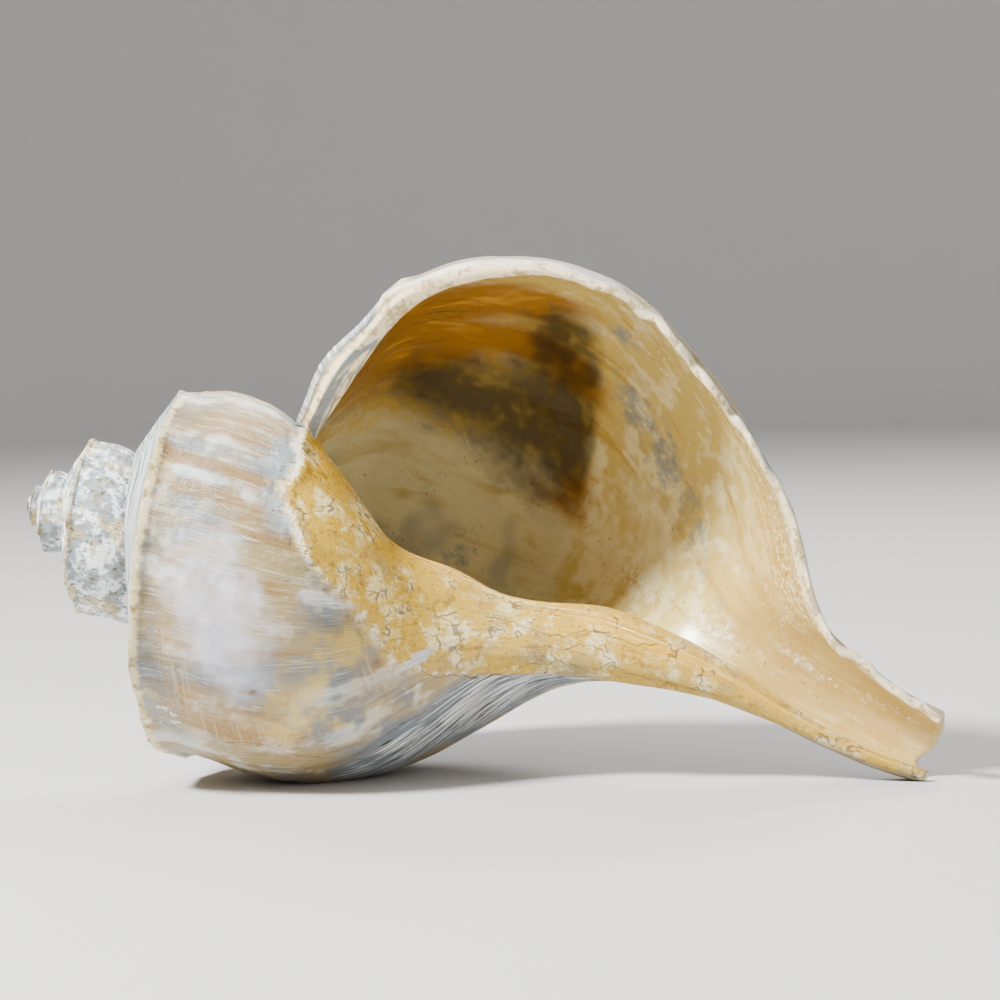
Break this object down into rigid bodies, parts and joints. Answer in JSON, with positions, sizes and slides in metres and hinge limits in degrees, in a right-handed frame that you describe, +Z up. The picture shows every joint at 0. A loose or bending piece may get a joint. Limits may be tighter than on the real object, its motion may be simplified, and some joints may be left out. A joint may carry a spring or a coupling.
{
  "type": "whelk shell",
  "caption": "Large weathered spiral sea-snail shell with a stepped spire, a wide flared mouth and a long open canal, lying on its belly.",
  "frame": {"origin": "centre of the bounding box's footprint, on the surface that the shell rests on", "axes": "+X from the apex towards the end of the canal, +Z up, the mouth open towards -Y and up"},
  "size_m": [0.2002, 0.0994, 0.1139],
  "materials": {
    "shell": "satin, weathered"
  },
  "bodies": {
    "root": {"whelk_shell": "shell"}
  },
  "joints": []
}
